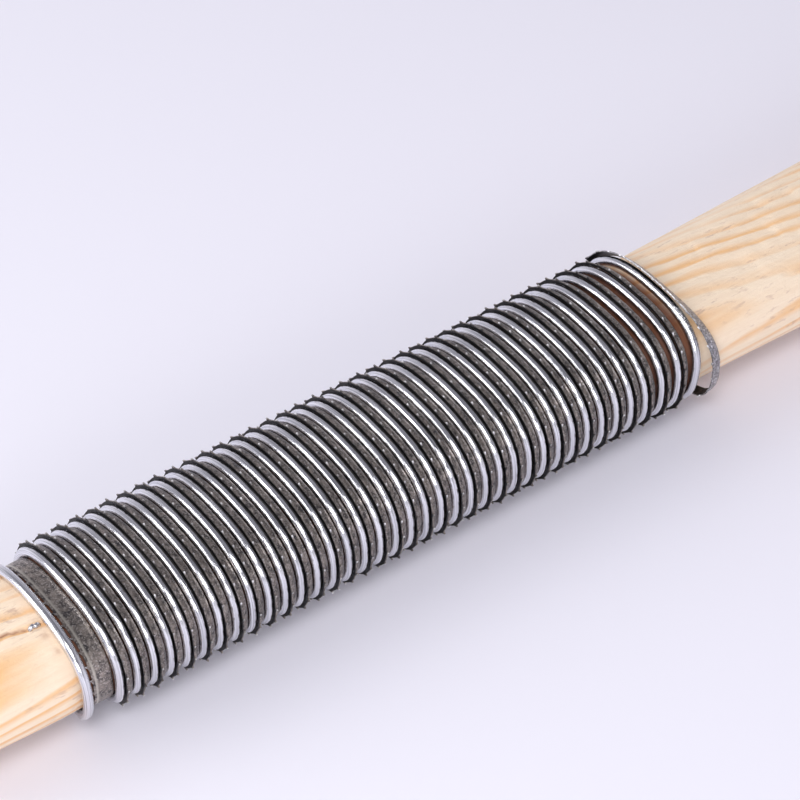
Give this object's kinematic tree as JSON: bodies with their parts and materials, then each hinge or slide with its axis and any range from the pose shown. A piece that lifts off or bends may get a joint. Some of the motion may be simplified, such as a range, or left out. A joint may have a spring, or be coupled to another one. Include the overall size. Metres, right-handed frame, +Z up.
{
  "type": "clay modeling tool",
  "caption": "Wooden clay modeling tool: a flat-oval stick with a thin blade and a wide handle, its middle wound with bright round wire and a toothed steel strip.",
  "frame": {"origin": "on the surface that the winding rests on, under the middle of the tool", "axes": "+X along the stick towards the handle's butt, +Y across the stick's width, +Z up"},
  "size_m": [0.26, 0.0238, 0.0156],
  "materials": {
    "pine": "bare planed softwood, matt, orange growth rings",
    "bright_wire": "bright drawn steel, mirror-like with fine draw marks",
    "dark_strip": "dark grey-brown oxide, speckled, satin",
    "fixing_steel": "dull bright steel"
  },
  "bodies": {
    "root": {"wooden_stick": "pine", "round_wire": "bright_wire", "toothed_strip": "dark_strip", "start_staple": "fixing_steel", "strip_start_tack": "fixing_steel", "strip_end_tack": "fixing_steel"}
  },
  "joints": []
}
